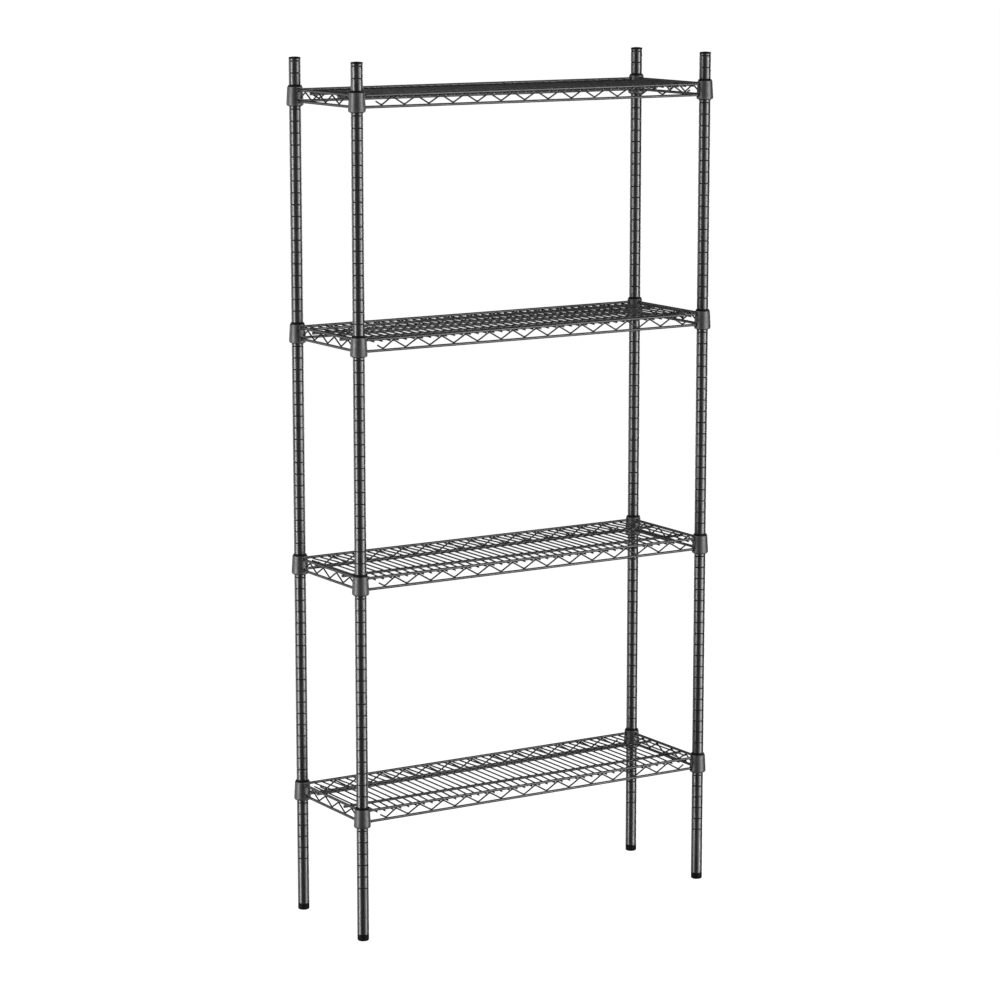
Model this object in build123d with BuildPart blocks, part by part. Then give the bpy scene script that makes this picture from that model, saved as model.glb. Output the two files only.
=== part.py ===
"""Wire shelving rack: four grooved posts, four lift-off wire shelves on split taper sleeves, screw feet.

Millimetres. The origin is on the floor at the middle of the footprint: +X runs along the shelves,
+Y from the front posts to the rear posts, +Z up. Heights inside a shelf are measured from the top
face of its corner collars, so they are negative.
"""

from build123d import *
from math import atan2, cos, radians, sin
import os

# --- Driving dimensions ------------------------------------------------------------------------
RACK_LENGTH = 914.4  # 36 in over the corner collars
RACK_DEPTH = 304.8  # 12 in over the corner collars
RACK_HEIGHT = 1879.6  # 74 in from the floor to the top of the post caps
SHELF_COUNT = 4
GROOVE_PITCH = 25.4  # 1 in, the step in which a shelf can be set
GROOVES_PER_SHELF = 20  # the shelves stand 20 in apart

# --- Posts -------------------------------------------------------------------------------------
POST_R = 12.7
POST_BORE_R = 11.2
GROOVE_COUNT = 70
FIRST_GROOVE_Z = 118.0
GROOVE_DEPTH = 0.85
GROOVE_MOUTH = 2.2
GROOVE_FLOOR = 1.2
PRESS_GAP = 0.1  # radial room round a piece that is pushed into a post

# --- Corner collars and their sleeves ----------------------------------------------------------
FIRST_COLLAR_Z = 292.0
COLLAR_TOP_R = 16.5
COLLAR_LOW_R = 18.5
COLLAR_TAPER_H = 35.0
COLLAR_H = 40.0
COLLAR_FOOT_R = 16.9  # outer radius where the rounded lower edge ends
COLLAR_BORE_TOP_R = 15.2
COLLAR_BORE_LOW_R = 16.3
COLLAR_EDGE = 0.4
SLEEVE_GAP = 0.3  # radial room between a sleeve and its collar
SLEEVE_LIP = 3.3  # how far a sleeve stands above its collar
SLEEVE_TAIL = 1.4  # how far it hangs below
SLEEVE_BORE_R = 12.95
SLEEVE_TAIL_R = 13.7
BEAD_R = 12.2  # the ridge inside a sleeve that sits in a post groove
BEAD_WIDE = 1.5
BEAD_NARROW = 0.8
SLEEVE_SPLIT = 1.0  # degrees left open at each side of a sleeve half

# --- Shelf wires -------------------------------------------------------------------------------
RIM_R = 3.0
THIN_R = 1.7
WELD = 0.4  # depth to which two crossing wires are welded into each other
TOP_RIM_Z = -6.5
LOW_RIM_Z = -30.5
STRINGER_Y = 60.0
STRINGER_OVERHANG = 4.0
ZIGZAG_PITCH = 59.2
ZIGZAG_SHORT_PITCH = 58.4
ZIGZAG_BEND_R = 7.0
LONG_ZIGZAG_VALLEYS = 14
SHORT_ZIGZAG_VALLEYS = 3
LONG_ZIGZAG_TAIL = 14.0  # the free end past the last valley
LEFT_ZIGZAG_TRIM = 4.5  # the wire is cropped a little nearer at its left end
SHORT_ZIGZAG_TAIL = 20.6  # the free end past the last peak
DECK_PITCH = ZIGZAG_PITCH / 3
DECK_WIRE_PAIRS = 21
DECK_KNEE_Y = 68.0
DECK_BEND_R = 60.0
DECK_OVERHANG = 4.5
END_WIRE_HALF = 105.0  # half the length of the short wire beside each end rim

# --- Caps and feet -----------------------------------------------------------------------------
CAP_FLANGE = 3.2
CAP_DOME = 1.3
CAP_PLUG = 14.0
CAP_PLUG_WALL = 1.8
CAP_PLUG_LEAD = 1.0  # how far the plug's lower edge is drawn in, so that it starts easily
CAP_BARB_STEP = 2.0  # height of each slope and each flat of the plug's barbs
CAP_BARB_DEPTH = 0.6
CAP_EDGE = 0.6
PAD_R = 12.6
PAD_H = 14.5
PAD_EDGE = 2.4
FOOT_GAP = 0.3  # between a foot pad and the end of its post when it is screwed home
STEM_R = 4.76  # 3/8 in thread
STEM_TOP_Z = 52.0
THREAD_PITCH = 1.5875  # 16 turns to the inch
THREAD_DEPTH = 0.6
HEX_FLATS = 14.0
HEX_H = 5.5
NECK_R = 4.0
HEEL_R = 6.0
HEEL_Z = 6.0
HEEL_H = 3.0
RUNNING_GAP = 0.1
SOCKET_GAP = 0.3
INSERT_LOW_Z = 22.6
INSERT_H = 27.0
INSERT_RIB = 1.0

# --- Worked out from the above -----------------------------------------------------------------
POST_X = RACK_LENGTH / 2 - COLLAR_LOW_R
POST_Y = RACK_DEPTH / 2 - COLLAR_LOW_R
POST_BOTTOM_Z = PAD_H + FOOT_GAP
POST_TOP_Z = RACK_HEIGHT - CAP_FLANGE - CAP_DOME
SHELF_STEP = GROOVE_PITCH * GROOVES_PER_SHELF
PLUG_R = POST_BORE_R - PRESS_GAP
STRINGER_Z = TOP_RIM_Z - 2 * RIM_R + WELD
DECK_MID_Z = STRINGER_Z + RIM_R + THIN_R - WELD
DECK_END_Z = TOP_RIM_Z - RIM_R - THIN_R + WELD
DECK_END_Y = POST_Y + DECK_OVERHANG
ZIGZAG_REACH = RIM_R + THIN_R - WELD  # from a rim's centre to the nearest run of zigzag

CORNERS = {
    "front_left": (-POST_X, -POST_Y),
    "front_right": (POST_X, -POST_Y),
    "rear_left": (-POST_X, POST_Y),
    "rear_right": (POST_X, POST_Y),
}

os.makedirs("parts", exist_ok=True)


def save(part, name):
    """Labels a finished piece and writes it as its own STEP file."""
    part.label = name
    export_step(part, f"parts/{name}.step")


def radial_plane(x, y, turn=0.0):
    """An upright plane through (x, y): its own x is the radius and its own y is the height."""
    a = radians(turn)
    return Plane(origin=(x, y, 0), x_dir=(cos(a), sin(a), 0), z_dir=(sin(a), -cos(a), 0))


def upright(x, y):
    """The vertical axis of the post that stands at (x, y)."""
    return Axis((x, y, 0), (0, 0, 1))


# --- Posts, caps and feet ----------------------------------------------------------------------
def groove_points():
    """The outside of a post from bottom to top, with one rolled groove for each inch step."""
    points = []
    for step in range(GROOVE_COUNT):
        z = FIRST_GROOVE_Z + step * GROOVE_PITCH
        points += [
            (POST_R, z - GROOVE_MOUTH / 2),
            (POST_R - GROOVE_DEPTH, z - GROOVE_FLOOR / 2),
            (POST_R - GROOVE_DEPTH, z + GROOVE_FLOOR / 2),
            (POST_R, z + GROOVE_MOUTH / 2),
        ]
    return points


def make_post(corner):
    x, y = CORNERS[corner]
    with BuildPart() as post:
        with BuildSketch(radial_plane(x, y)):
            Polygon(
                (POST_BORE_R, POST_BOTTOM_Z),
                (POST_R, POST_BOTTOM_Z),
                *groove_points(),
                (POST_R, POST_TOP_Z),
                (POST_BORE_R, POST_TOP_Z),
                align=None,
            )
        revolve(axis=upright(x, y))
    save(post.part, f"post_{corner}")


def make_post_cap(corner):
    """A flange with a low dome, over a hollow plug that holds by two barbs inside the tube."""
    x, y = CORNERS[corner]
    flange_top = POST_TOP_Z + CAP_FLANGE
    plug_low = POST_TOP_Z - CAP_PLUG
    with BuildPart() as cap:
        with BuildSketch(radial_plane(x, y)):
            with BuildLine():
                outline = Polyline(
                    (0, POST_TOP_Z + CAP_PLUG_WALL / 2),
                    (PLUG_R - CAP_PLUG_WALL, POST_TOP_Z),
                    (PLUG_R - CAP_PLUG_WALL, plug_low),
                    (PLUG_R - CAP_PLUG_LEAD, plug_low),
                    (PLUG_R, plug_low + CAP_BARB_STEP),
                    (PLUG_R - CAP_BARB_DEPTH, plug_low + 2 * CAP_BARB_STEP),
                    (PLUG_R - CAP_BARB_DEPTH, plug_low + 3 * CAP_BARB_STEP),
                    (PLUG_R, plug_low + 4 * CAP_BARB_STEP),
                    (PLUG_R, POST_TOP_Z),
                    (POST_R, POST_TOP_Z),
                    (POST_R, flange_top - CAP_EDGE),
                    (POST_R - CAP_EDGE, flange_top),
                )
                dome = TangentArc((0, RACK_HEIGHT), outline @ 1, tangent=(1, 0))
                Line(dome @ 0, outline @ 0)
            make_face()
        revolve(axis=upright(x, y))
    save(cap.part, f"post_cap_{corner}")


def make_foot_insert(corner):
    """The threaded plug inside the lower end of a post, ribbed where the tube is crimped on it."""
    x, y = CORNERS[corner]
    bore_r = STEM_R + RUNNING_GAP
    with BuildPart() as insert:
        with BuildSketch(radial_plane(x, y)):
            with Locations(((bore_r + PLUG_R) / 2, INSERT_LOW_Z + INSERT_H / 2)):
                Rectangle(PLUG_R - bore_r, INSERT_H)
            with Locations((PLUG_R, INSERT_LOW_Z + INSERT_H / 2)):
                with GridLocations(0, INSERT_H / 3, 1, 2):
                    Rectangle(INSERT_RIB, INSERT_RIB * 2, mode=Mode.SUBTRACT)
        revolve(axis=upright(x, y))
    save(insert.part, f"foot_insert_{corner}")


def thread_points(low, high):
    """The edge of the stem between two heights, its thread drawn as rings at the real pitch."""
    points = []
    turns = int((high - low) / THREAD_PITCH)
    for turn in range(turns):
        z = low + turn * THREAD_PITCH
        points += [(STEM_R - THREAD_DEPTH, z), (STEM_R, z + THREAD_PITCH / 2)]
    return points


def make_foot_stem(corner):
    """Thread, hexagon for the wrench, neck, and the heel that the pad is held by."""
    x, y = CORNERS[corner]
    hex_low = POST_BOTTOM_Z + FOOT_GAP
    hex_top = hex_low + HEX_H
    with BuildPart() as stem:
        with BuildSketch(radial_plane(x, y)):
            Polygon(
                (0, HEEL_Z),
                (HEEL_R, HEEL_Z),
                (HEEL_R, HEEL_Z + HEEL_H),
                (NECK_R, HEEL_Z + HEEL_H),
                (NECK_R, hex_low + HEX_H / 2),
                *thread_points(hex_top, STEM_TOP_Z),
                (STEM_R - THREAD_DEPTH, STEM_TOP_Z),
                (0, STEM_TOP_Z),
                align=None,
            )
        revolve(axis=upright(x, y))
        with BuildSketch(Plane.XY.offset(hex_low)):
            with Locations((x, y)):
                RegularPolygon(HEX_FLATS / 2, 6, major_radius=False)
        extrude(amount=HEX_H)
    save(stem.part, f"foot_stem_{corner}")


def make_foot_pad(corner):
    x, y = CORNERS[corner]
    heel_top = HEEL_Z + HEEL_H + SOCKET_GAP
    with BuildPart() as pad:
        with BuildSketch(Plane.XY):
            with Locations((x, y)):
                Circle(PAD_R)
        extrude(amount=PAD_H)
        fillet(pad.edges().group_by(Axis.Z)[0], PAD_EDGE)
        with BuildSketch(Plane.XY.offset(HEEL_Z - SOCKET_GAP)):
            with Locations((x, y)):
                Circle(HEEL_R + SOCKET_GAP)
        extrude(amount=heel_top - HEEL_Z + SOCKET_GAP, mode=Mode.SUBTRACT)
        with BuildSketch(Plane.XY.offset(heel_top)):
            with Locations((x, y)):
                Circle(NECK_R + SOCKET_GAP)
        extrude(amount=PAD_H - heel_top, mode=Mode.SUBTRACT)
    save(pad.part, f"foot_pad_{corner}")


# --- Collars and sleeves -----------------------------------------------------------------------
def collar_radius(height):
    """The outer radius of a collar at a height below its top face."""
    return COLLAR_TOP_R - (COLLAR_LOW_R - COLLAR_TOP_R) * height / COLLAR_TAPER_H


def bore_radius(height):
    """The radius inside a collar at a height below its top face."""
    return COLLAR_BORE_TOP_R - (COLLAR_BORE_LOW_R - COLLAR_BORE_TOP_R) * height / COLLAR_H


def make_collars(shelf, top):
    with BuildPart() as collars:
        for x, y in CORNERS.values():
            with BuildSketch(radial_plane(x, y)):
                with BuildLine():
                    wall = Polyline(
                        (COLLAR_FOOT_R, top - COLLAR_H),
                        (COLLAR_BORE_LOW_R, top - COLLAR_H),
                        (COLLAR_BORE_TOP_R, top),
                        (COLLAR_TOP_R - COLLAR_EDGE, top),
                        (COLLAR_TOP_R, top - COLLAR_EDGE),
                        (COLLAR_LOW_R, top - COLLAR_TAPER_H),
                    )
                    TangentArc(wall @ 1, wall @ 0, tangent=wall % 1)
                make_face()
            revolve(axis=upright(x, y))
    save(collars.part, f"shelf_{shelf}_collars")


def make_sleeve_halves(shelf, top, side, turn):
    """Half of each split sleeve: a taper outside, a bead inside for the groove at this height."""
    groove = round((top - COLLAR_H / 2 - FIRST_GROOVE_Z) / GROOVE_PITCH)
    bead_z = FIRST_GROOVE_Z + groove * GROOVE_PITCH
    lip_r = bore_radius(0) - SLEEVE_GAP
    low_r = bore_radius(-COLLAR_H) - SLEEVE_GAP
    with BuildPart() as halves:
        for x, y in CORNERS.values():
            with BuildSketch(radial_plane(x, y, turn + SLEEVE_SPLIT)):
                Polygon(
                    (SLEEVE_BORE_R, top - COLLAR_H - SLEEVE_TAIL),
                    (SLEEVE_TAIL_R, top - COLLAR_H - SLEEVE_TAIL),
                    (low_r, top - COLLAR_H),
                    (lip_r, top),
                    (lip_r, top + SLEEVE_LIP - COLLAR_EDGE),
                    (lip_r - COLLAR_EDGE, top + SLEEVE_LIP),
                    (SLEEVE_BORE_R, top + SLEEVE_LIP),
                    (SLEEVE_BORE_R, bead_z + BEAD_WIDE / 2),
                    (BEAD_R, bead_z + BEAD_NARROW / 2),
                    (BEAD_R, bead_z - BEAD_NARROW / 2),
                    (SLEEVE_BORE_R, bead_z - BEAD_WIDE / 2),
                    align=None,
                )
            revolve(axis=upright(x, y), revolution_arc=180 - 2 * SLEEVE_SPLIT)
    save(halves.part, f"shelf_{shelf}_sleeve_{side}_halves")


# --- Shelf wires -------------------------------------------------------------------------------
def make_rim(shelf, top, height, name):
    """Four straight wires, welded end-on to the collars: two long ones and two short ones."""
    inset = collar_radius(height) - WELD
    long_half = POST_X - inset
    short_half = POST_Y - inset
    with BuildPart() as rim:
        with BuildSketch(Plane.YZ.offset(-long_half)):
            with Locations((0, top + height)):
                with GridLocations(2 * POST_Y, 0, 2, 1):
                    Circle(RIM_R)
        extrude(amount=2 * long_half)
        with BuildSketch(Plane.XZ.offset(-short_half)):
            with Locations((0, top + height)):
                with GridLocations(2 * POST_X, 0, 2, 1):
                    Circle(RIM_R)
        extrude(amount=2 * short_half)
    save(rim.part, f"shelf_{shelf}_{name}_rim")


def make_stringers(shelf, top):
    """The two wires along the shelf that carry the deck, welded under the end rims."""
    half = POST_X + STRINGER_OVERHANG
    with BuildPart() as stringers:
        with BuildSketch(Plane.YZ.offset(-half)):
            with Locations((0, top + STRINGER_Z)):
                with GridLocations(2 * STRINGER_Y, 0, 2, 1):
                    Circle(RIM_R)
        extrude(amount=2 * half)
    save(stringers.part, f"shelf_{shelf}_stringers")


def make_deck_wires(shelf, top):
    """Wires from front to back: over the stringers, then down to pass under the long rims."""
    with BuildPart(mode=Mode.PRIVATE) as bent:
        with BuildLine(Plane.YZ) as route:
            FilletPolyline(
                (-DECK_END_Y, top + DECK_END_Z),
                (-DECK_KNEE_Y, top + DECK_MID_Z),
                (DECK_KNEE_Y, top + DECK_MID_Z),
                (DECK_END_Y, top + DECK_END_Z),
                radius=DECK_BEND_R,
            )
        with BuildSketch(Plane(origin=route.line @ 0, z_dir=route.line % 0)):
            Circle(THIN_R)
        sweep(path=route.line)
    spots = [(side * (n + 0.5) * DECK_PITCH, 0) for n in range(DECK_WIRE_PAIRS) for side in (-1, 1)]
    end_x = (DECK_WIRE_PAIRS + 0.5) * DECK_PITCH
    with BuildPart() as deck:
        with Locations(*spots):
            add(bent.part)
        with BuildSketch(Plane.XZ.offset(-END_WIRE_HALF)):
            with Locations((-end_x, top + DECK_MID_Z), (end_x, top + DECK_MID_Z)):
                Circle(THIN_R)
        extrude(amount=2 * END_WIRE_HALF)
    save(deck.part, f"shelf_{shelf}_deck_wires")


def zigzag_heights(pitch):
    """The heights of the sharp corners whose bends just reach the welds at both rims."""
    rise = TOP_RIM_Z - LOW_RIM_Z - 2 * ZIGZAG_REACH
    lean = atan2(rise, pitch / 2)
    cut = ZIGZAG_BEND_R * (1 / cos(lean) - 1)
    return LOW_RIM_Z + ZIGZAG_REACH - cut, TOP_RIM_Z - ZIGZAG_REACH + cut


def long_zigzag_points(top):
    """(x, z) corners of a long zigzag, from its free left end to its free right end."""
    low, high = zigzag_heights(ZIGZAG_PITCH)
    last = (LONG_ZIGZAG_VALLEYS - 1) / 2 * ZIGZAG_PITCH
    tail_z = top + low + (high - low) * LONG_ZIGZAG_TAIL / (ZIGZAG_PITCH / 2)
    points = [
        (-last + n * ZIGZAG_PITCH / 2, top + (low, high)[n % 2])
        for n in range(2 * LONG_ZIGZAG_VALLEYS - 1)
    ]
    points[0] = (points[0][0] + LEFT_ZIGZAG_TRIM, points[0][1])
    left = (points[0][0] - LONG_ZIGZAG_TAIL, tail_z)
    right = (points[-1][0] + LONG_ZIGZAG_TAIL, tail_z)
    return [left] + points + [right]


def short_zigzag_points(top):
    """(y, z) corners of a short zigzag, whose free ends come down beside the collars."""
    low, high = zigzag_heights(ZIGZAG_SHORT_PITCH)
    last = SHORT_ZIGZAG_VALLEYS / 2 * ZIGZAG_SHORT_PITCH
    tail_z = top + high - (high - low) * SHORT_ZIGZAG_TAIL / (ZIGZAG_SHORT_PITCH / 2)
    points = [
        (-last + n * ZIGZAG_SHORT_PITCH / 2, top + (high, low)[n % 2])
        for n in range(2 * SHORT_ZIGZAG_VALLEYS + 1)
    ]
    end = last + SHORT_ZIGZAG_TAIL
    return [(-end, tail_z)] + points + [(end, tail_z)]


def make_trusses(shelf, top):
    """The zigzags between the rims, one along each side of the shelf."""
    sides = [(Plane.XZ.offset(side * POST_Y), long_zigzag_points(top)) for side in (-1, 1)]
    sides += [(Plane.YZ.offset(side * POST_X), short_zigzag_points(top)) for side in (-1, 1)]
    with BuildPart() as trusses:
        for plane, points in sides:
            with BuildLine(plane) as route:
                FilletPolyline(*points, radius=ZIGZAG_BEND_R)
            with BuildSketch(Plane(origin=route.line @ 0, z_dir=route.line % 0)):
                Circle(THIN_R)
            sweep(path=route.line)
    save(trusses.part, f"shelf_{shelf}_trusses")


# --- The rack ----------------------------------------------------------------------------------
for name in CORNERS:
    make_post(name)
    make_post_cap(name)
    make_foot_insert(name)
    make_foot_stem(name)
    make_foot_pad(name)

for number in range(1, SHELF_COUNT + 1):
    collar_top = FIRST_COLLAR_Z + (number - 1) * SHELF_STEP
    make_collars(number, collar_top)
    make_sleeve_halves(number, collar_top, "front", 180)
    make_sleeve_halves(number, collar_top, "rear", 0)
    make_rim(number, collar_top, TOP_RIM_Z, "top")
    make_rim(number, collar_top, LOW_RIM_Z, "low")
    make_stringers(number, collar_top)
    make_deck_wires(number, collar_top)
    make_trusses(number, collar_top)
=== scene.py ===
from math import acos, atan2, ceil, cos, pi, radians, sin, tan

import bmesh
import bpy
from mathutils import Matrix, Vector, noise


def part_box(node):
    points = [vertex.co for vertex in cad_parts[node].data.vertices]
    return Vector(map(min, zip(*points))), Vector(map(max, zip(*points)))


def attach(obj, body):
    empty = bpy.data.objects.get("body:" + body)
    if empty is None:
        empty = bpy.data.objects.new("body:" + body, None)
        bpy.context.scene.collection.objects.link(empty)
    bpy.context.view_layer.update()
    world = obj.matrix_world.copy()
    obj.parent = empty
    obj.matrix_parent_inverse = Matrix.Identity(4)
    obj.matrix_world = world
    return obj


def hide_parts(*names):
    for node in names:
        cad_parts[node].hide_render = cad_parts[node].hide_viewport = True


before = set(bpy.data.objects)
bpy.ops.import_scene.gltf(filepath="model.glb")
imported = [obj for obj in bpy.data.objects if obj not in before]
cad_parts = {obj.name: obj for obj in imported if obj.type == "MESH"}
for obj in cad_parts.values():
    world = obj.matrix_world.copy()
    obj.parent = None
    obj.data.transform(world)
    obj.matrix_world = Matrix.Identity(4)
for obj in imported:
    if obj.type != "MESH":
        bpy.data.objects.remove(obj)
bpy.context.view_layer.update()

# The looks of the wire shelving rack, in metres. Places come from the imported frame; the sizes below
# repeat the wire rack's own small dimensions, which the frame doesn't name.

CORNERS = ("front_left", "front_right", "rear_left", "rear_right")
SHELVES = (1, 2, 3, 4)

# --- Posts -------------------------------------------------------------------------------------
GROOVE_PITCH = 0.0254
GROOVE_COUNT = 70
FIRST_GROOVE_Z = 0.118
GROOVE_DEPTH = 0.00085
GROOVE_HALF = 0.0015  # from the middle of a groove to plain tube
GROOVE_FLOOR_HALF = 0.0003
GROOVE_MARGIN = 0.0002  # keeps the shading of a lip off the plain tube
GROOVE_RINGS = 11
GROOVE_SHADE = 2.4  # how soon the painted groove shade reaches full strength on its way down
LIP_WEAR = 0.5
LIP_SHARES = (0.01, 0.2)  # the part of the slope, in shares of the depth, that is rubbed
POST_WALL = 0.0015
TUBE_EDGE = 0.00025

# --- Collars and sleeves -----------------------------------------------------------------------
COLLAR_TOP_R = 0.0165
COLLAR_LOW_R = 0.0185
COLLAR_TAPER_H = 0.035
COLLAR_H = 0.040
COLLAR_BORE_TOP_R = 0.0152
COLLAR_BORE_LOW_R = 0.0163
COLLAR_FOOT_R = 0.0169
COLLAR_EDGE = 0.0004
SLEEVE_GAP = 0.0003
SLEEVE_LIP = 0.0033
SLEEVE_TAIL = 0.0014
SLEEVE_BORE_R = 0.01295
SLEEVE_TAIL_R = 0.0137
SLEEVE_SPLIT = radians(1)
BEAD_R = 0.0122
BEAD_HALF = 0.0006

# --- Shelf wires -------------------------------------------------------------------------------
ZIGZAG_PITCH = 0.0592
ZIGZAG_SHORT_PITCH = 0.0584
ZIGZAG_BEND_R = 0.007
LONG_ZIGZAG_VALLEYS = 14
SHORT_ZIGZAG_VALLEYS = 3
LONG_ZIGZAG_TAIL = 0.014
LEFT_ZIGZAG_TRIM = 0.0045
SHORT_ZIGZAG_TAIL = 0.0206
DECK_PITCH = ZIGZAG_PITCH / 3
DECK_WIRE_PAIRS = 21
DECK_KNEE_Y = 0.068
DECK_BEND_R = 0.060
END_WIRE_HALF = 0.105
WELD = 0.0004
WIRE_EDGE = 0.0004  # the rounded edge at a cropped wire's end
NUGGET_SPREAD = 1.12  # a weld bead's half width, in wire radii
NUGGET_HALF_H = 0.0009
# Rings of the bead where a rim meets a collar: how far off the collar, and how much fatter than the wire
FLARE_RINGS = (
    (0.0030, 0.00001),
    (0.0019, 0.0003),
    (0.0010, 0.0008),
    (0.0003, 0.0015),
    (-0.0009, 0.0019),
)

# --- Caps and feet -----------------------------------------------------------------------------
CAP_FLANGE = 0.0032
CAP_PLUG_R = 0.0111
CAP_WALL = 0.0018
CAP_EDGE = 0.0006
CAP_BARB = 0.0006
CAP_BARB_PITCH = 0.004
PAD_EDGE = 0.0024
NECK_R = 0.004
HEEL_R = 0.006
HEEL_H = 0.003
HEEL_EDGE = 0.0004
SOCKET_GAP = 0.0003
THREAD_R = 0.00476
THREAD_DEPTH = 0.0006
THREAD_PITCH = 0.0015875
THREAD_STEPS = 24  # columns of points round the thread
HEX_HALF = 0.007  # half the distance across the flats
HEX_H = 0.0055
HEX_CHAMFER = 0.0006
HEX_STEPS = 72  # points round the hexagon
POST_TO_HEX = 0.0003
THREAD_SINK = 0.0005  # how far the thread reaches into the hexagon
INSERT_RIB = 0.001
INSERT_EDGE = 0.0005
SOLE_RINGS = (0.003, 0.0055, 0.008)  # radii of the grip rings under a pad
SOLE_RING_DEPTH = 0.0005


# --- Mesh making -------------------------------------------------------------------------------
class Shell:
    """The points and faces of a piece while it is made. Each point has two painted values:
    wear is where the coat is rubbed, and the other is painted shade where the point lies in a groove."""

    def __init__(self):
        self.points = []
        self.faces = []
        self.wear = []
        self.painted_shade = []

    def point(self, at, wear=0.0, painted_shade=0.0):
        self.points.append(tuple(at))
        self.wear.append(wear)
        self.painted_shade.append(painted_shade)
        return len(self.points) - 1

    def join(self, rings, loop=False, closed=True):
        """Faces between rings of points. A ring at the axis repeats one point, which is left out."""
        following = rings[1:] + rings[:1] if loop else rings[1:]
        for low, high in zip(rings, following):
            for k in range(len(low) - (0 if closed else 1)):
                n = (k + 1) % len(low)
                face = list(dict.fromkeys((low[k], low[n], high[n], high[k])))
                if len(face) > 2:
                    self.faces.append(face)

    def close(self, rings):
        """Flat faces over the first and the last ring."""
        self.faces += [rings[0], rings[-1]]


def lathe(shell, profile, x, y, around=48, start=0.0, arc=2 * pi, loop=True):
    """Turns (radius, height, wear, painted shade) points round the upright line at (x, y)."""
    whole = arc > 2 * pi - 0.001
    columns = around if whole else around + 1
    rings = []
    for r, z, wear, painted_shade in profile:
        if r == 0:
            rings.append([shell.point((x, y, z), wear, painted_shade)] * columns)
            continue
        angles = [start + arc * k / around for k in range(columns)]
        rings.append([shell.point((x + r * cos(a), y + r * sin(a), z), wear, painted_shade) for a in angles])
    shell.join(rings, loop, closed=whole)
    if not whole:
        shell.faces.append([ring[0] for ring in rings])
        shell.faces.append([ring[-1] for ring in reversed(rings)])


def plain(*points):
    """A profile with no painted values."""
    return [(r, z, 0.0, 0.0) for r, z in points]


def rounded(points, radius, steps=6):
    """The path through the corners, with each corner turned into an arc."""
    path = [points[0]]
    for before, corner, after in zip(points, points[1:], points[2:]):
        into = (corner - before).normalized()
        out = (after - corner).normalized()
        turn = acos(max(-1.0, min(1.0, into.dot(out))))
        reach = radius * tan(turn / 2)
        centre = corner + (out - into).normalized() * (radius / cos(turn / 2))
        first = corner - into * reach - centre
        last = corner + out * reach - centre
        for k in range(steps + 1):
            part = turn * k / steps
            path.append(centre + (first * sin(turn - part) + last * sin(part)) / sin(turn))
    path.append(points[-1])
    return path


def tube(shell, path, radius, side, around=16):
    """A wire along a flat path, whose plane has side as its normal, with softly cropped ends."""
    ahead = (path[1] - path[0]).normalized()
    astern = (path[-1] - path[-2]).normalized()
    stations = [(path[0], radius - WIRE_EDGE, ahead), (path[0] + ahead * WIRE_EDGE, radius, ahead)]
    for before, here, after in zip(path, path[1:], path[2:]):
        stations.append((here, radius, (after - before).normalized()))
    stations.append((path[-1] - astern * WIRE_EDGE, radius, astern))
    stations.append((path[-1], radius - WIRE_EDGE, astern))
    rings = []
    for here, r, along in stations:
        across = along.cross(side)
        angles = [2 * pi * k / around for k in range(around)]
        worn = 1.0 if r < radius else 0.0
        rings.append([shell.point(here + (side * cos(a) + across * sin(a)) * r, worn) for a in angles])
    shell.join(rings)
    shell.close(rings)


def nugget(shell, at, size, seed, rows=6, around=10):
    """The squeezed bead where two wires are welded: a flattened lump, no two alike."""
    rings = []
    for row in range(rows + 1):
        tilt = pi * row / rows
        spin = [2 * pi * k / around for k in range(around)]
        if row in (0, rows):
            rings.append([shell.point(at + Vector((0, 0, size.z * cos(tilt))))] * around)
            continue
        ring = []
        for a in spin:
            way = Vector((sin(tilt) * cos(a), sin(tilt) * sin(a), cos(tilt)))
            swell = 1 + 0.22 * noise.noise(way * 1.3 + Vector((seed * 3.7, seed * 1.9, 0)))
            ring.append(shell.point(at + Vector(map(lambda p, q: p * q * swell, way, size))))
        rings.append(ring)
    shell.join(rings)


def flare(shell, at, out, wire_r, seed, around=24):
    """The bead round a rim wire where it is welded to a collar; at is on the collar's face."""
    side = Vector((0, 0, 1))
    across = out.cross(side)
    rings = []
    for reach, swell in FLARE_RINGS:
        ring = []
        for k in range(around):
            a = 2 * pi * k / around
            lump = 1 + 0.3 * noise.noise(Vector((cos(a) * 1.6, sin(a) * 1.6, seed * 2.3)))
            r = wire_r + swell * lump
            ring.append(shell.point(at + out * reach + (side * cos(a) + across * sin(a)) * r))
        rings.append(ring)
    shell.join(rings)
    shell.close(rings)


def piece(shell, name, body, material, nodes=()):
    """Turns a shell into a smooth object that rides on its body and stands for its CAD nodes."""
    mesh = bpy.data.meshes.new(name)
    mesh.from_pydata(shell.points, [], shell.faces)
    for label, values in (("wear", shell.wear), ("painted_shade", shell.painted_shade)):
        layer = mesh.attributes.new(label, "FLOAT", "POINT")
        layer.data.foreach_set("value", values)
    work = bmesh.new()
    work.from_mesh(mesh)
    bmesh.ops.triangulate(work, faces=[f for f in work.faces if len(f.verts) > 4])
    bmesh.ops.recalc_face_normals(work, faces=work.faces)
    work.to_mesh(mesh)
    work.free()
    mesh.shade_smooth()
    mesh.set_sharp_from_angle(angle=radians(38))
    mesh.materials.append(material)
    made = bpy.data.objects.new(name, mesh)
    bpy.context.scene.collection.objects.link(made)
    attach(made, body)
    if nodes:
        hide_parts(*nodes)
    return made


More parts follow.
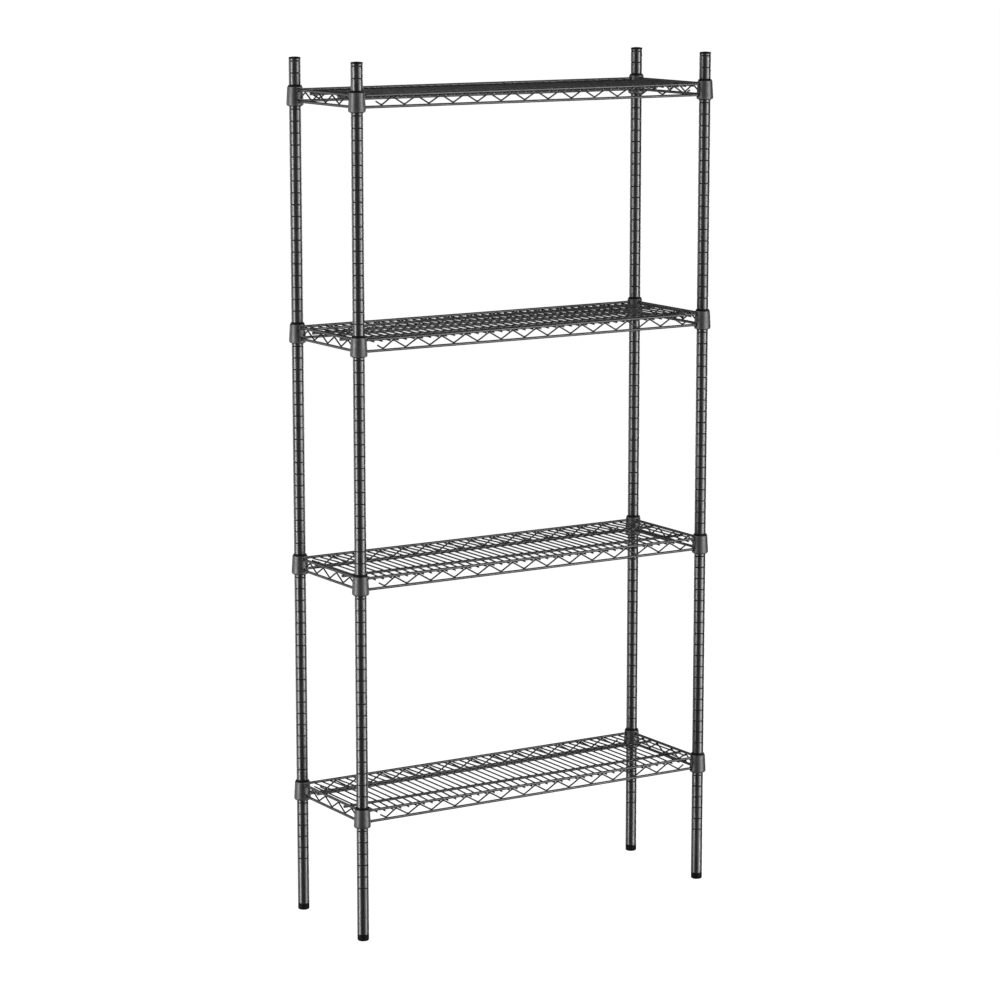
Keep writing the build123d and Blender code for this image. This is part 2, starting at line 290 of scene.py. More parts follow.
# --- Materials ---------------------------------------------------------------------------------
class Nodes:
    """Short words for building a node tree."""

    def __init__(self, name):
        self.material = bpy.data.materials.new(name)
        self.material.use_nodes = True
        self.tree = self.material.node_tree
        self.shader = self.tree.nodes["Principled BSDF"]
        self.place = self.add("ShaderNodeTexCoord").outputs["Object"]

    def add(self, kind, **values):
        node = self.tree.nodes.new(kind)
        for key, value in values.items():
            setattr(node, key, value)
        return node

    def link(self, source, target):
        self.tree.links.new(source, target)

    def set(self, **values):
        for key, value in values.items():
            self.shader.inputs[key.replace("_", " ")].default_value = value

    def noise(self, scale, detail=2.0, rough=0.5):
        """Cloudy values from 0 to 1; scale is in clouds per metre."""
        node = self.add("ShaderNodeTexNoise")
        node.inputs["Scale"].default_value = scale
        node.inputs["Detail"].default_value = detail
        node.inputs["Roughness"].default_value = rough
        self.link(self.place, node.inputs["Vector"])
        return node.outputs["Fac"]

    def spread(self, value, low, high, to_low, to_high):
        """Maps a value from one range to another, held at the ends."""
        node = self.add("ShaderNodeMapRange")
        self.link(value, node.inputs["Value"])
        for key, number in zip(("From Min", "From Max", "To Min", "To Max"), (low, high, to_low, to_high)):
            node.inputs[key].default_value = number
        return node.outputs["Result"]

    def maths(self, operation, first, second):
        node = self.add("ShaderNodeMath", operation=operation, use_clamp=True)
        for socket, value in zip(node.inputs, (first, second)):
            if isinstance(value, (int, float)):
                socket.default_value = value
            else:
                self.link(value, socket)
        return node.outputs["Value"]

    def times(self, first, second):
        return self.maths("MULTIPLY", first, second)

    def plus(self, first, second):
        return self.maths("ADD", first, second)

    def blend(self, share, first, second):
        """Mixes two colours; each is a colour or the output of a node."""
        node = self.add("ShaderNodeMix", data_type="RGBA")
        self.link(share, node.inputs["Factor"])
        for socket, value in zip((node.inputs[6], node.inputs[7]), (first, second)):
            if isinstance(value, tuple):
                socket.default_value = (*value, 1.0)
            else:
                self.link(value, socket)
        return node.outputs[2]

    def attribute(self, name):
        return self.add("ShaderNodeAttribute", attribute_name=name).outputs["Fac"]

    def facing_up(self):
        normal = self.add("ShaderNodeNewGeometry").outputs["Normal"]
        split = self.add("ShaderNodeSeparateXYZ")
        self.link(normal, split.inputs["Vector"])
        return split.outputs["Z"]

    def bump(self, height, distance, strength, under=None):
        node = self.add("ShaderNodeBump")
        node.inputs["Strength"].default_value = strength
        node.inputs["Distance"].default_value = distance
        self.link(height, node.inputs["Height"])
        if under:
            self.link(under, node.inputs["Normal"])
        return node.outputs["Normal"]


# Colours are linear shares of red, green and blue.
EPOXY_DARK = (0.0035, 0.0035, 0.0036)
EPOXY_PALE = (0.0065, 0.0065, 0.0067)
EPOXY_FLECK = (0.013, 0.013, 0.0133)
EPOXY_RUBBED = (0.13, 0.13, 0.133)
# Near black, painted into the grooves as shade.
EPOXY_PAINTED_SHADE = (0.001, 0.001, 0.001)
DUST = (0.10, 0.097, 0.094)
PLASTIC_DARK = (0.0008, 0.0008, 0.0009)
PLASTIC_PALE = (0.0018, 0.0018, 0.0019)
PLASTIC_SCUFF = (0.012, 0.012, 0.012)
ZINC_BLUE = (0.30, 0.30, 0.305)
ZINC_YELLOW = (0.34, 0.33, 0.30)
ZINC_SPOT = (0.19, 0.185, 0.175)


def epoxy_coat(name, smooth, rough, gloss):
    """Dark grey epoxy baked on steel: orange peel, a little dust on top, edges rubbed paler, and painted
    shade in the grooves.
    smooth and rough are the ends of its roughness, gloss is its specular level."""
    n = Nodes(name)
    tone = n.spread(n.noise(9, 4), 0.3, 0.7, 0.0, 1.0)
    coat = n.blend(tone, EPOXY_DARK, EPOXY_PALE)
    grain = n.spread(n.noise(2600, 2), 0.35, 0.65, 0.0, 1.0)
    flecks = n.blend(n.times(grain, 0.35), coat, EPOXY_FLECK)
    scuffs = n.spread(n.noise(420, 3, 0.6), 0.50, 0.62, 0.0, 1.0)
    rubbed = n.times(n.times(n.attribute("wear"), scuffs), 0.35)
    worn = n.blend(rubbed, flecks, EPOXY_RUBBED)
    # Painted shade: points in the grooves are darkened to near black, made rougher and given no gloss.
    painted_shade = n.attribute("painted_shade")
    shaded_coat = n.blend(n.times(painted_shade, 0.9), worn, EPOXY_PAINTED_SHADE)
    top = n.spread(n.facing_up(), 0.55, 1.0, 0.0, 1.0)
    lint = n.spread(n.noise(55, 5, 0.65), 0.45, 0.75, 0.0, 0.10)
    dust = n.times(top, lint)
    n.link(n.blend(dust, shaded_coat, DUST), n.shader.inputs["Base Color"])
    sheen = n.spread(n.noise(70, 4, 0.6), 0.3, 0.7, smooth, rough)
    matt = n.plus(sheen, n.times(dust, 1.2))
    dull = n.plus(matt, n.times(painted_shade, 0.3))
    n.link(n.plus(dull, n.times(rubbed, 0.15)), n.shader.inputs["Roughness"])
    peel = n.bump(n.noise(700, 2), 0.00006, 1.0)
    n.link(n.bump(n.noise(140, 2), 0.0001, 0.25, peel), n.shader.inputs["Normal"])
    # Painted shade: black metal has no gloss, so the grooves stay dark.
    n.link(n.times(painted_shade, 0.7), n.shader.inputs["Metallic"])
    n.set(Specular_IOR_Level=gloss)
    return n.material


def black_plastic():
    """Moulded black plastic with a fine spark texture and slight scuffs."""
    n = Nodes("black_plastic")
    tone = n.spread(n.noise(45, 3), 0.35, 0.65, 0.0, 1.0)
    base = n.blend(tone, PLASTIC_DARK, PLASTIC_PALE)
    scuffs = n.spread(n.noise(300, 4, 0.6), 0.52, 0.66, 0.0, 0.5)
    rubbed = n.times(n.attribute("wear"), scuffs)
    n.link(n.blend(rubbed, base, PLASTIC_SCUFF), n.shader.inputs["Base Color"])
    n.link(n.spread(n.noise(240, 3), 0.3, 0.7, 0.55, 0.68), n.shader.inputs["Roughness"])
    n.link(n.bump(n.noise(2200, 2), 0.00003, 0.4), n.shader.inputs["Normal"])
    n.set(Specular_IOR_Level=0.06)
    return n.material


def zinc_steel():
    """Bright zinc plate over turned steel, with the faint yellow and blue of its passivation."""
    n = Nodes("zinc_steel")
    tint = n.spread(n.noise(160, 3), 0.35, 0.65, 0.0, 1.0)
    plate = n.blend(tint, ZINC_BLUE, ZINC_YELLOW)
    spots = n.spread(n.noise(900, 3), 0.60, 0.72, 0.0, 0.6)
    n.link(n.blend(spots, plate, ZINC_SPOT), n.shader.inputs["Base Color"])
    n.link(n.spread(n.noise(500, 4), 0.3, 0.7, 0.42, 0.58), n.shader.inputs["Roughness"])
    rings = n.add("ShaderNodeTexWave", wave_type="BANDS", bands_direction="Z")
    rings.inputs["Scale"].default_value = 900
    rings.inputs["Distortion"].default_value = 1.5
    n.link(n.place, rings.inputs["Vector"])
    n.link(n.bump(rings.outputs["Fac"], 0.00002, 0.25), n.shader.inputs["Normal"])
    n.set(Metallic=1.0)
    return n.material


# The same coat on the posts, the collars, the rims and deck, and the zigzags and welds.
EPOXY = epoxy_coat("epoxy_coat", smooth=0.27, rough=0.37, gloss=0.6)
PRESSED_EPOXY = epoxy_coat("pressed_epoxy_coat", smooth=0.43, rough=0.55, gloss=0.6)
RIM_EPOXY = epoxy_coat("rim_epoxy_coat", smooth=0.33, rough=0.43, gloss=0.32)
WIRE_EPOXY = epoxy_coat("wire_epoxy_coat", smooth=0.36, rough=0.46, gloss=0.16)
PLASTIC = black_plastic()
ZINC = zinc_steel()


# --- Posts, caps and feet ----------------------------------------------------------------------
def middle(node):
    """The upright centre line of a round node."""
    low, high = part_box(node)
    return (low.x + high.x) / 2, (low.y + high.y) / 2


def groove_rings(outer):
    """The rolled grooves from bottom to top, each with soft lips, a round floor and painted shade that
    deepens towards the floor.
    """
    rings = []
    for step in range(GROOVE_COUNT):
        z = FIRST_GROOVE_Z + step * GROOVE_PITCH
        rings.append((outer, z - GROOVE_HALF - GROOVE_MARGIN, 0.0, 0.0))
        for k in range(GROOVE_RINGS):
            off = GROOVE_HALF * (2 * k / (GROOVE_RINGS - 1) - 1)
            slope = (abs(off) - GROOVE_FLOOR_HALF) / (GROOVE_HALF - GROOVE_FLOOR_HALF)
            share = (1 + cos(pi * min(1.0, max(0.0, slope)))) / 2
            lip = LIP_WEAR if LIP_SHARES[0] < share < LIP_SHARES[1] else 0.0
            rings.append((outer - GROOVE_DEPTH * share, z + off, lip, min(1.0, GROOVE_SHADE * share)))
        rings.append((outer, z + GROOVE_HALF + GROOVE_MARGIN, 0.0, 0.0))
    return rings


def make_post(corner):
    node = f"post_{corner}"
    low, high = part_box(node)
    x, y = middle(node)
    outer = (high.x - low.x) / 2
    bore = outer - POST_WALL
    shell = Shell()
    profile = [
        (bore, low.z, 0, 0),
        (outer - TUBE_EDGE, low.z, 1, 0),
        (outer, low.z + TUBE_EDGE, 1, 0),
        (outer, low.z + 4 * TUBE_EDGE, 0, 0),
        *groove_rings(outer),
        (outer, high.z - 4 * TUBE_EDGE, 0, 0),
        (outer, high.z - TUBE_EDGE, 1, 0),
        (outer - TUBE_EDGE, high.z, 1, 0),
        (bore, high.z, 0, 0),
    ]
    lathe(shell, profile, x, y)
    piece(shell, f"grooved_{node}", "posts", EPOXY, [node])


def make_cap(corner):
    node = f"post_cap_{corner}"
    low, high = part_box(node)
    x, y = middle(node)
    outer = (high.x - low.x) / 2
    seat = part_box(f"post_{corner}")[1].z
    rim_z = seat + CAP_FLANGE
    dome_r = outer - CAP_EDGE
    waist_r = CAP_PLUG_R - CAP_BARB
    shell = Shell()
    profile = plain((0, seat + CAP_WALL / 2), (CAP_PLUG_R - CAP_WALL, seat), (CAP_PLUG_R - CAP_WALL, low.z))
    profile += plain((CAP_PLUG_R - 0.001, low.z), (CAP_PLUG_R, low.z + CAP_BARB_PITCH / 2))
    profile += plain((waist_r, low.z + CAP_BARB_PITCH), (waist_r, low.z + 1.5 * CAP_BARB_PITCH))
    profile += plain((CAP_PLUG_R, low.z + 2 * CAP_BARB_PITCH), (CAP_PLUG_R, seat), (outer - 0.0002, seat))
    profile += [(outer, seat + 0.0002, 0, 0)]
    for k in range(6):
        a = pi / 2 * k / 5
        profile.append((dome_r + CAP_EDGE * cos(a), rim_z - CAP_EDGE + CAP_EDGE * sin(a), 1, 0))
    for k in range(1, 8):
        r = dome_r * (1 - k / 7)
        profile.append((r, rim_z + (high.z - rim_z) * (1 - (r / dome_r) ** 2), 0, 0))
    lathe(shell, profile, x, y, around=64, loop=False)
    piece(shell, f"moulded_{node}", "posts", PLASTIC, [node])


def make_insert(corner):
    node = f"foot_insert_{corner}"
    low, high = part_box(node)
    x, y = middle(node)
    outer = (high.x - low.x) / 2
    bore = THREAD_R + 0.0001
    shell = Shell()
    profile = [(bore, low.z), (outer - INSERT_EDGE, low.z), (outer, low.z + INSERT_EDGE)]
    for share in (1 / 3, 2 / 3):
        z = low.z + (high.z - low.z) * share
        profile += [(outer, z - 0.001), (outer - INSERT_RIB / 2, z - 0.0007)]
        profile += [(outer - INSERT_RIB / 2, z + 0.0007), (outer, z + 0.001)]
    profile += [(outer, high.z - INSERT_EDGE), (outer - INSERT_EDGE, high.z), (bore, high.z)]
    lathe(shell, plain(*profile), x, y)
    piece(shell, f"turned_{node}", "posts", ZINC, [node])


def make_thread(shell, x, y, low, high):
    """A true helical thread, as columns of points that join one turn further up."""
    pattern = (THREAD_R - THREAD_DEPTH, THREAD_R - THREAD_DEPTH / 2, THREAD_R, THREAD_R - THREAD_DEPTH / 2)
    size = len(pattern)
    turns = ceil((high - low) / THREAD_PITCH) + 1
    columns = []
    for k in range(THREAD_STEPS):
        a = 2 * pi * k / THREAD_STEPS
        column = []
        for j in range(turns * size + 1):
            z = low + (j / size + k / THREAD_STEPS - 1) * THREAD_PITCH
            r = pattern[j % size]
            taper = max(0.0, z - (high - THREAD_PITCH))
            r = min(r, THREAD_R - taper)
            column.append(shell.point((x + r * cos(a), y + r * sin(a), z)))
        columns.append(column)
    columns.append(columns[0][size:] + [None] * size)
    for here, there in zip(columns, columns[1:]):
        for j in range(turns * size):
            face = (here[j], there[j], there[j + 1], here[j + 1])
            if None not in face:
                shell.faces.append(face)


def add_hexagon(shell, x, y, low):
    rings = [[shell.point((x, y, low))] * HEX_STEPS]
    for z, wear in ((0, 0.0), (HEX_CHAMFER, 1.0), (HEX_H - HEX_CHAMFER, 1.0), (HEX_H, 0.0)):
        ring = []
        for k in range(HEX_STEPS):
            a = 2 * pi * k / HEX_STEPS
            flat = HEX_HALF / cos((a + pi / 6) % (pi / 3) - pi / 6)
            r = flat if wear else min(flat, HEX_HALF) - 0.0001
            ring.append(shell.point((x + r * cos(a + pi / 6), y + r * sin(a + pi / 6), low + z), wear))
        rings.append(ring)
    rings.append([shell.point((x, y, low + HEX_H))] * HEX_STEPS)
    shell.join(rings)


def add_thread(shell, x, y, low, high):
    """The thread between two heights, cut off flat at both."""
    body = Shell()
    make_thread(body, x, y, low - THREAD_SINK, high)
    thread = bmesh.new()
    mesh = bpy.data.meshes.new("thread")
    mesh.from_pydata(body.points, [], body.faces)
    thread.from_mesh(mesh)
    for cut, way in ((low, -1), (high, 1)):
        plane = {"plane_co": (0, 0, cut), "plane_no": (0, 0, way)}
        whole = thread.verts[:] + thread.edges[:] + thread.faces[:]
        bmesh.ops.bisect_plane(thread, geom=whole, clear_outer=True, **plane)
        bmesh.ops.holes_fill(thread, edges=[e for e in thread.edges if e.is_boundary])
    bmesh.ops.delete(thread, geom=[v for v in thread.verts if not v.link_faces], context="VERTS")
    thread.verts.index_update()
    base = len(shell.points)
    for v in thread.verts:
        shell.point(v.co)
    for f in thread.faces:
        shell.faces.append([base + v.index for v in f.verts])
    thread.free()
    bpy.data.meshes.remove(mesh)


def make_stem(corner):
    node = f"foot_stem_{corner}"
    low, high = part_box(node)
    x, y = middle(node)
    hex_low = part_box(f"post_{corner}")[0].z + POST_TO_HEX
    shell = Shell()
    profile = [(0, low.z), (HEEL_R - HEEL_EDGE, low.z), (HEEL_R, low.z + HEEL_EDGE)]
    profile += [(HEEL_R, low.z + HEEL_H - HEEL_EDGE), (HEEL_R - HEEL_EDGE, low.z + HEEL_H)]
    profile += [(NECK_R, low.z + HEEL_H), (NECK_R, hex_low + 0.001), (0, hex_low + 0.001)]
    lathe(shell, plain(*profile), x, y, loop=False)
    add_hexagon(shell, x, y, hex_low)
    add_thread(shell, x, y, hex_low + HEX_H - THREAD_SINK, high.z)
    piece(shell, f"threaded_{node}", f"stem_{corner}", ZINC, [node])


def make_pad(corner):
    node = f"foot_pad_{corner}"
    low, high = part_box(node)
    x, y = middle(node)
    outer = (high.x - low.x) / 2
    heel_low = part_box(f"foot_stem_{corner}")[0].z - SOCKET_GAP
    heel_high = heel_low + HEEL_H + 2 * SOCKET_GAP
    shell = Shell()
    profile = [(0, low.z, 0, 0)]
    for r in SOLE_RINGS:
        # The grip rings' floors carry painted shade, which the plastic material doesn't read.
        profile += [(r - 0.0004, low.z, 0, 0), (r - 0.0002, low.z + SOLE_RING_DEPTH, 0, 1)]
        profile += [(r + 0.0002, low.z + SOLE_RING_DEPTH, 0, 1), (r + 0.0004, low.z, 0, 0)]
    for k in range(9):
        a = pi / 2 * k / 8
        profile.append((outer - PAD_EDGE + PAD_EDGE * sin(a), low.z + PAD_EDGE - PAD_EDGE * cos(a), 1, 0))
    profile += [(outer, high.z - 0.0004, 0, 0), (outer - 0.0004, high.z, 1, 0)]
    profile += plain((NECK_R + SOCKET_GAP, high.z), (NECK_R + SOCKET_GAP, heel_high))
    profile += plain((HEEL_R + SOCKET_GAP, heel_high), (HEEL_R + SOCKET_GAP, heel_low), (0, heel_low))
    lathe(shell, profile, x, y, around=64, loop=False)
    piece(shell, f"moulded_{node}", f"pad_{corner}", PLASTIC, [node])


# --- Shelves -----------------------------------------------------------------------------------
def collar_r(below_top):
    """Outer radius of a collar at a depth below its top face."""
    return COLLAR_TOP_R + (COLLAR_LOW_R - COLLAR_TOP_R) * below_top / COLLAR_TAPER_H


def corner_points():
    return [Vector((*middle(f"post_{corner}"), 0)) for corner in CORNERS]


def make_collars(shelf, top):
    shell = Shell()
    profile = [(COLLAR_BORE_LOW_R, top - COLLAR_H, 0, 0), (COLLAR_BORE_TOP_R, top, 0, 0)]
    for k in range(4):
        a = pi / 2 * k / 3
        at = (COLLAR_TOP_R - COLLAR_EDGE * (1 - sin(a)), top - COLLAR_EDGE * (1 - cos(a)))
        profile.append((*at, 1, 0))
    profile += [(collar_r(0.002), top - 0.002, 0, 0), (COLLAR_LOW_R, top - COLLAR_TAPER_H, 0, 0)]
    drop = COLLAR_H - COLLAR_TAPER_H
    for k in range(1, 9):
        a = pi / 2 * k / 8
        at = (COLLAR_FOOT_R + (COLLAR_LOW_R - COLLAR_FOOT_R) * cos(a), top - COLLAR_TAPER_H - drop * sin(a))
        profile.append((*at, 1.0 if 2 < k < 7 else 0.0, 0))
    for at in corner_points():
        lathe(shell, profile, at.x, at.y, around=64)
    node = f"shelf_{shelf}_collars"
    piece(shell, f"pressed_{node}", f"shelf_{shelf}", PRESSED_EPOXY, [node])


def make_sleeves(shelf, top, side, start):
    groove = round((top - COLLAR_H / 2 - FIRST_GROOVE_Z) / GROOVE_PITCH)
    bead_z = FIRST_GROOVE_Z + groove * GROOVE_PITCH
    lip_r = COLLAR_BORE_TOP_R - SLEEVE_GAP
    low_r = COLLAR_BORE_LOW_R - SLEEVE_GAP
    shell = Shell()
    profile = plain(
        (SLEEVE_BORE_R, top - COLLAR_H - SLEEVE_TAIL),
        (SLEEVE_TAIL_R, top - COLLAR_H - SLEEVE_TAIL),
        (low_r, top - COLLAR_H),
        (lip_r, top),
        (lip_r, top + SLEEVE_LIP - 0.0008),
    )
    profile += [(lip_r - 0.0002, top + SLEEVE_LIP - 0.0003, 1, 0), (lip_r - 0.0007, top + SLEEVE_LIP, 1, 0)]
    profile += plain((SLEEVE_BORE_R + 0.0004, top + SLEEVE_LIP), (SLEEVE_BORE_R, top + SLEEVE_LIP - 0.0005))
    profile += plain((SLEEVE_BORE_R, bead_z + BEAD_HALF), (BEAD_R, bead_z + BEAD_HALF / 2))
    profile += plain((BEAD_R, bead_z - BEAD_HALF / 2), (SLEEVE_BORE_R, bead_z - BEAD_HALF))
    for at in corner_points():
        lathe(shell, profile, at.x, at.y, 40, start + SLEEVE_SPLIT, pi - 2 * SLEEVE_SPLIT)
    node = f"shelf_{shelf}_sleeve_{side}_halves"
    piece(shell, f"moulded_{node}", "posts", PLASTIC, [node])


def wire_centre(node):
    """Height and radius of straight level wires, from their node's box."""
    low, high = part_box(node)
    return (low.z + high.z) / 2, (high.z - low.z) / 2


def make_rim(shelf, top, layer):
    node = f"shelf_{shelf}_{layer}_rim"
    z, r = wire_centre(node)
    inset = collar_r(top - z) - WELD
    left, right = (Vector((*middle(f"post_{c}"), z)) for c in ("front_left", "rear_right"))
    shell = Shell()
    for y in (left.y, right.y):
        ends = [Vector((left.x + inset, y, z)), Vector((0, y, z)), Vector((right.x - inset, y, z))]
        tube(shell, ends, r, Vector((0, 1, 0)), around=24)
    for x in (left.x, right.x):
        ends = [Vector((x, left.y + inset, z)), Vector((x, 0, z)), Vector((x, right.y - inset, z))]
        tube(shell, ends, r, Vector((1, 0, 0)), around=24)
    piece(shell, f"drawn_{node}", f"shelf_{shelf}", RIM_EPOXY, [node])


def make_stringers(shelf):
    node = f"shelf_{shelf}_stringers"
    z, r = wire_centre(node)
    low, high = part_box(node)
    shell = Shell()
    for y in (low.y + r, high.y - r):
        ends = [Vector((x, y, z)) for x in (low.x, 0, high.x)]
        tube(shell, ends, r, Vector((0, 1, 0)), around=24)
    piece(shell, f"drawn_{node}", f"shelf_{shelf}", RIM_EPOXY, [node])


class ShelfWires:
    """Heights and ends of one shelf's thin wires, worked out from the boxes of its thick ones."""

    def __init__(self, shelf):
        self.rim_z, self.rim_r = wire_centre(f"shelf_{shelf}_top_rim")
        self.low_z = wire_centre(f"shelf_{shelf}_low_rim")[0]
        self.stringer_z = wire_centre(f"shelf_{shelf}_stringers")[0]
        self.stringer_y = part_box(f"shelf_{shelf}_stringers")[1].y - self.rim_r
        self.thin_r = (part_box(f"shelf_{shelf}_trusses")[1].y - middle("post_rear_left")[1])
        self.reach = self.rim_r + self.thin_r - WELD
        self.deck_z = self.stringer_z + self.reach
        self.deck_end_z = self.rim_z - self.reach
        self.deck_end_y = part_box(f"shelf_{shelf}_deck_wires")[1].y
        self.end_x = (DECK_WIRE_PAIRS + 0.5) * DECK_PITCH

    def deck_spots(self):
        return [side * (n + 0.5) * DECK_PITCH for n in range(DECK_WIRE_PAIRS) for side in (-1, 1)]

    def zigzag(self, pitch):
        """Low and high corners whose bends just reach the welds at both rims."""
        rise = self.rim_z - self.low_z - 2 * self.reach
        cut = ZIGZAG_BEND_R * (1 / cos(atan2(rise, pitch / 2)) - 1)
        return self.low_z + self.reach - cut, self.rim_z - self.reach + cut


def make_deck(shelf):
    w = ShelfWires(shelf)
    shell = Shell()
    for x in w.deck_spots():
        corners = [
            Vector((x, -w.deck_end_y, w.deck_end_z)),
            Vector((x, -DECK_KNEE_Y, w.deck_z)),
            Vector((x, DECK_KNEE_Y, w.deck_z)),
            Vector((x, w.deck_end_y, w.deck_end_z)),
        ]
        tube(shell, rounded(corners, DECK_BEND_R, 3), w.thin_r, Vector((1, 0, 0)), 14)
    for x in (-w.end_x, w.end_x):
        ends = [Vector((x, y, w.deck_z)) for y in (-END_WIRE_HALF, 0, END_WIRE_HALF)]
        tube(shell, ends, w.thin_r, Vector((1, 0, 0)), 14)
    node = f"shelf_{shelf}_deck_wires"
    piece(shell, f"cropped_{node}", f"shelf_{shelf}", RIM_EPOXY, [node])


def long_corners(w, y):
    low, high = w.zigzag(ZIGZAG_PITCH)
    last = (LONG_ZIGZAG_VALLEYS - 1) / 2 * ZIGZAG_PITCH
    tail_z = low + (high - low) * LONG_ZIGZAG_TAIL / (ZIGZAG_PITCH / 2)
    count = 2 * LONG_ZIGZAG_VALLEYS - 1
    corners = [Vector((n * ZIGZAG_PITCH / 2 - last, y, (low, high)[n % 2])) for n in range(count)]
    corners[0].x += LEFT_ZIGZAG_TRIM
    left = Vector((corners[0].x - LONG_ZIGZAG_TAIL, y, tail_z))
    right = Vector((corners[-1].x + LONG_ZIGZAG_TAIL, y, tail_z))
    return [left, *corners, right]


def short_corners(w, x):
    low, high = w.zigzag(ZIGZAG_SHORT_PITCH)
    last = SHORT_ZIGZAG_VALLEYS / 2 * ZIGZAG_SHORT_PITCH
    tail_z = high - (high - low) * SHORT_ZIGZAG_TAIL / (ZIGZAG_SHORT_PITCH / 2)
    count = 2 * SHORT_ZIGZAG_VALLEYS + 1
    corners = [Vector((x, n * ZIGZAG_SHORT_PITCH / 2 - last, (high, low)[n % 2])) for n in range(count)]
    end = last + SHORT_ZIGZAG_TAIL
    return [Vector((x, -end, tail_z)), *corners, Vector((x, end, tail_z))]


def make_trusses(shelf):
    w = ShelfWires(shelf)
    right, rear = middle("post_rear_right")
    shell = Shell()
    for y in (-rear, rear):
        tube(shell, rounded(long_corners(w, y), ZIGZAG_BEND_R, 8), w.thin_r, Vector((0, 1, 0)))
    for x in (-right, right):
        tube(shell, rounded(short_corners(w, x), ZIGZAG_BEND_R, 8), w.thin_r, Vector((1, 0, 0)))
    node = f"shelf_{shelf}_trusses"
    piece(shell, f"bent_{node}", f"shelf_{shelf}", WIRE_EPOXY, [node])


def make_welds(shelf, top):
    """Every bead of a shelf: deck on stringers and rims, zigzags on rims, rims on collars."""
    w = ShelfWires(shelf)
    right, rear = middle("post_rear_right")
    under_rim = w.rim_z - w.rim_r + WELD / 2
    over_low = w.low_z + w.rim_r - WELD / 2
    over_stringer = w.stringer_z + w.rim_r - WELD / 2
    size = Vector((w.thin_r * NUGGET_SPREAD, w.thin_r * NUGGET_SPREAD, NUGGET_HALF_H))
    stringers = (-w.stringer_y, w.stringer_y)
    spots = [Vector((x, y, over_stringer)) for x in w.deck_spots() for y in stringers]
    spots += [Vector((x, y, under_rim)) for x in w.deck_spots() for y in (-rear, rear)]
    spots += [Vector((x, y, over_stringer)) for x in (-w.end_x, w.end_x) for y in stringers]
    spots += [Vector((x, y, under_rim)) for x in (-right, right) for y in stringers]
    bends = [corner for y in (-rear, rear) for corner in long_corners(w, y)[1:-1]]
    bends += [corner for x in (-right, right) for corner in short_corners(w, x)[1:-1]]
    for bend in bends:
        is_low = bend.z < w.low_z + w.rim_r + w.thin_r
        spots.append(Vector((bend.x, bend.y, over_low if is_low else under_rim)))
    shell = Shell()
    for seed, at in enumerate(spots):
        nugget(shell, at, size, seed)
    seed = 0
    for at in corner_points():
        for z in (w.rim_z, w.low_z):
            for out in (Vector((-at.x, 0, 0)).normalized(), Vector((0, -at.y, 0)).normalized()):
                face = Vector((at.x, at.y, z)) + out * collar_r(top - z)
                flare(shell, face, out, w.rim_r, seed)
                seed += 1
    piece(shell, f"shelf_{shelf}_welds", f"shelf_{shelf}", WIRE_EPOXY)


for corner in CORNERS:
    make_post(corner)
    make_cap(corner)
    make_insert(corner)
    make_stem(corner)
    make_pad(corner)

for shelf in SHELVES:
    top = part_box(f"shelf_{shelf}_collars")[1].z
    make_collars(shelf, top)
    make_sleeves(shelf, top, "front", pi)
    make_sleeves(shelf, top, "rear", 0.0)
    make_rim(shelf, top, "top")
    make_rim(shelf, top, "low")
    make_stringers(shelf)
    make_deck(shelf)
    make_trusses(shelf)
    make_welds(shelf, top)


# --- Floor, light and camera -------------------------------------------------------------------
FLOOR_HALF = 60.0
FLOOR_Z = -0.012  # as low as a foot reaches when it is screwed right out
FLOOR_GREYS = ((0.86, 0.86, 0.86), (0.90, 0.90, 0.90))
FLOOR_GLOW = 1.09  # lifts the floor to paper white, as an over-lit studio sweep looks
FLOOR_GLOW_SHARE = 0.93
BACKDROP_GLOW = 1.05
FILL_LIGHT = 0.055
STRIP_LENGTH = 4.4  # the strips reach below the floor, so that each post mirrors them down to its foot
STRIP_MIDDLE = 0.9
STRIPS = (  # name, azimuth in degrees, distance, width, power in watts
    ("left_strip", -94, 3.4, 0.9, 245),
    ("right_strip", 34, 3.4, 0.9, 230),
    ("right_glow", 13, 3.6, 1.3, 80),
    ("rear_left_strip", -150, 3.8, 1.2, 48),
    ("rear_right_strip", 120, 3.8, 1.2, 95),
)
CAMERA_AT = Vector((-3.816, -6.122, 2.204))
CAMERA_YAW = radians(31.88)  # to the right of straight ahead along +Y
CAMERA_PITCH = radians(10.235)  # down
CAMERA_LENS = 119.4  # mm, on a 36 mm wide sensor


def make_floor():
    mesh = bpy.data.meshes.new("floor")
    corners = [(x * FLOOR_HALF, y * FLOOR_HALF, FLOOR_Z) for x, y in ((-1, -1), (1, -1), (1, 1), (-1, 1))]
    mesh.from_pydata(corners, [], [(0, 1, 2, 3)])
    n = Nodes("pale_floor")
    n.link(n.blend(n.noise(3, 2), *FLOOR_GREYS), n.shader.inputs["Base Color"])
    n.set(Roughness=0.9, Specular_IOR_Level=0.1)
    glow = n.add("ShaderNodeEmission")
    glow.inputs["Strength"].default_value = FLOOR_GLOW
    choice = n.add("ShaderNodeMixShader")
    seen = n.add("ShaderNodeLightPath").outputs["Is Camera Ray"]
    n.link(n.times(seen, FLOOR_GLOW_SHARE), choice.inputs["Fac"])
    n.link(n.shader.outputs["BSDF"], choice.inputs[1])
    n.link(glow.outputs["Emission"], choice.inputs[2])
    n.link(choice.outputs["Shader"], n.tree.nodes["Material Output"].inputs["Surface"])
    mesh.materials.append(n.material)
    floor = bpy.data.objects.new("floor", mesh)
    # Only the camera sees the floor: so large a white sweep would wash the rack out with its own light.
    for way in ("diffuse", "glossy", "transmission", "shadow"):
        setattr(floor, f"visible_{way}", False)
    bpy.context.scene.collection.objects.link(floor)


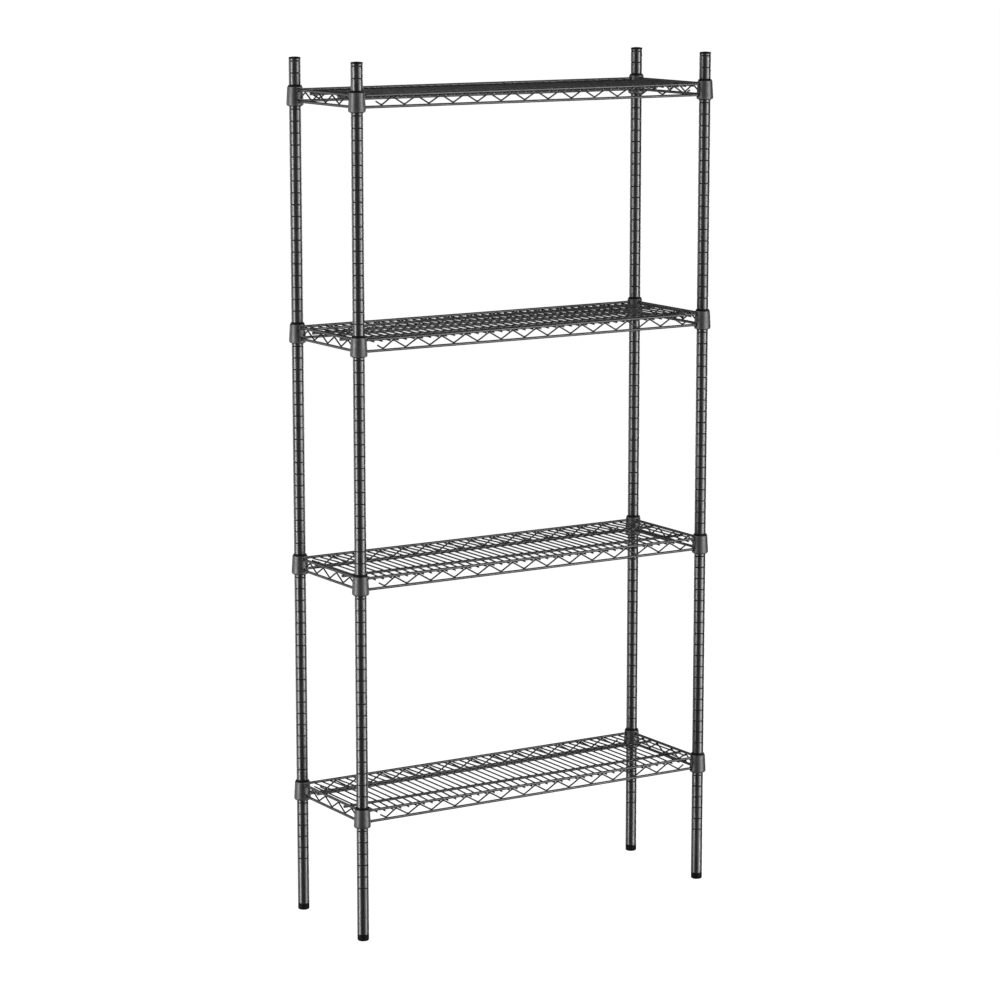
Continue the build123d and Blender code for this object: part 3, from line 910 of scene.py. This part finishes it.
def soft_box(name, azimuth, distance, height, aim, size, power):
    """An area light that faces the rack's middle line at the height aim. Azimuth 0 is in front of
    the rack and 90 is to the right of it."""
    a = radians(azimuth)
    light = bpy.data.lights.new(name, "AREA")
    light.shape = "RECTANGLE"
    light.size, light.size_y = size
    light.energy = power
    lamp = bpy.data.objects.new(name, light)
    lamp.location = (distance * sin(a), -distance * cos(a), height)
    lamp.rotation_euler = (Vector((0, 0, aim)) - lamp.location).to_track_quat("-Z", "Y").to_euler()
    lamp.visible_camera = False
    bpy.context.scene.collection.objects.link(lamp)


def make_world():
    """White behind the rack for the camera, and a dim even fill for everything else."""
    world = bpy.data.worlds.new("studio")
    world.use_nodes = True
    tree = world.node_tree
    backdrop = tree.nodes["Background"]
    backdrop.inputs["Color"].default_value = (1, 1, 1, 1)
    backdrop.inputs["Strength"].default_value = BACKDROP_GLOW
    fill = tree.nodes.new("ShaderNodeBackground")
    fill.inputs["Color"].default_value = (1, 1, 1, 1)
    fill.inputs["Strength"].default_value = FILL_LIGHT
    seen = tree.nodes.new("ShaderNodeLightPath")
    choice = tree.nodes.new("ShaderNodeMixShader")
    tree.links.new(seen.outputs["Is Camera Ray"], choice.inputs["Fac"])
    tree.links.new(fill.outputs["Background"], choice.inputs[1])
    tree.links.new(backdrop.outputs["Background"], choice.inputs[2])
    tree.links.new(choice.outputs["Shader"], tree.nodes["World Output"].inputs["Surface"])
    bpy.context.scene.world = world


def make_camera():
    data = bpy.data.cameras.new("camera")
    data.lens = CAMERA_LENS
    data.sensor_width = 36
    data.dof.use_dof = False
    data.clip_end = 200
    camera = bpy.data.objects.new("camera", data)
    camera.location = CAMERA_AT
    camera.rotation_euler = (pi / 2 - CAMERA_PITCH, 0, -CAMERA_YAW)
    bpy.context.scene.collection.objects.link(camera)
    bpy.context.scene.camera = camera


make_floor()
make_world()
make_camera()
for name, azimuth, distance, width, power in STRIPS:
    soft_box(name, azimuth, distance, STRIP_MIDDLE, STRIP_MIDDLE, (width, STRIP_LENGTH), power)
soft_box("overhead", azimuth=-30, distance=0.4, height=4.2, aim=2.5, size=(3.0, 3.0), power=60)
bpy.context.scene.view_settings.view_transform = "Standard"
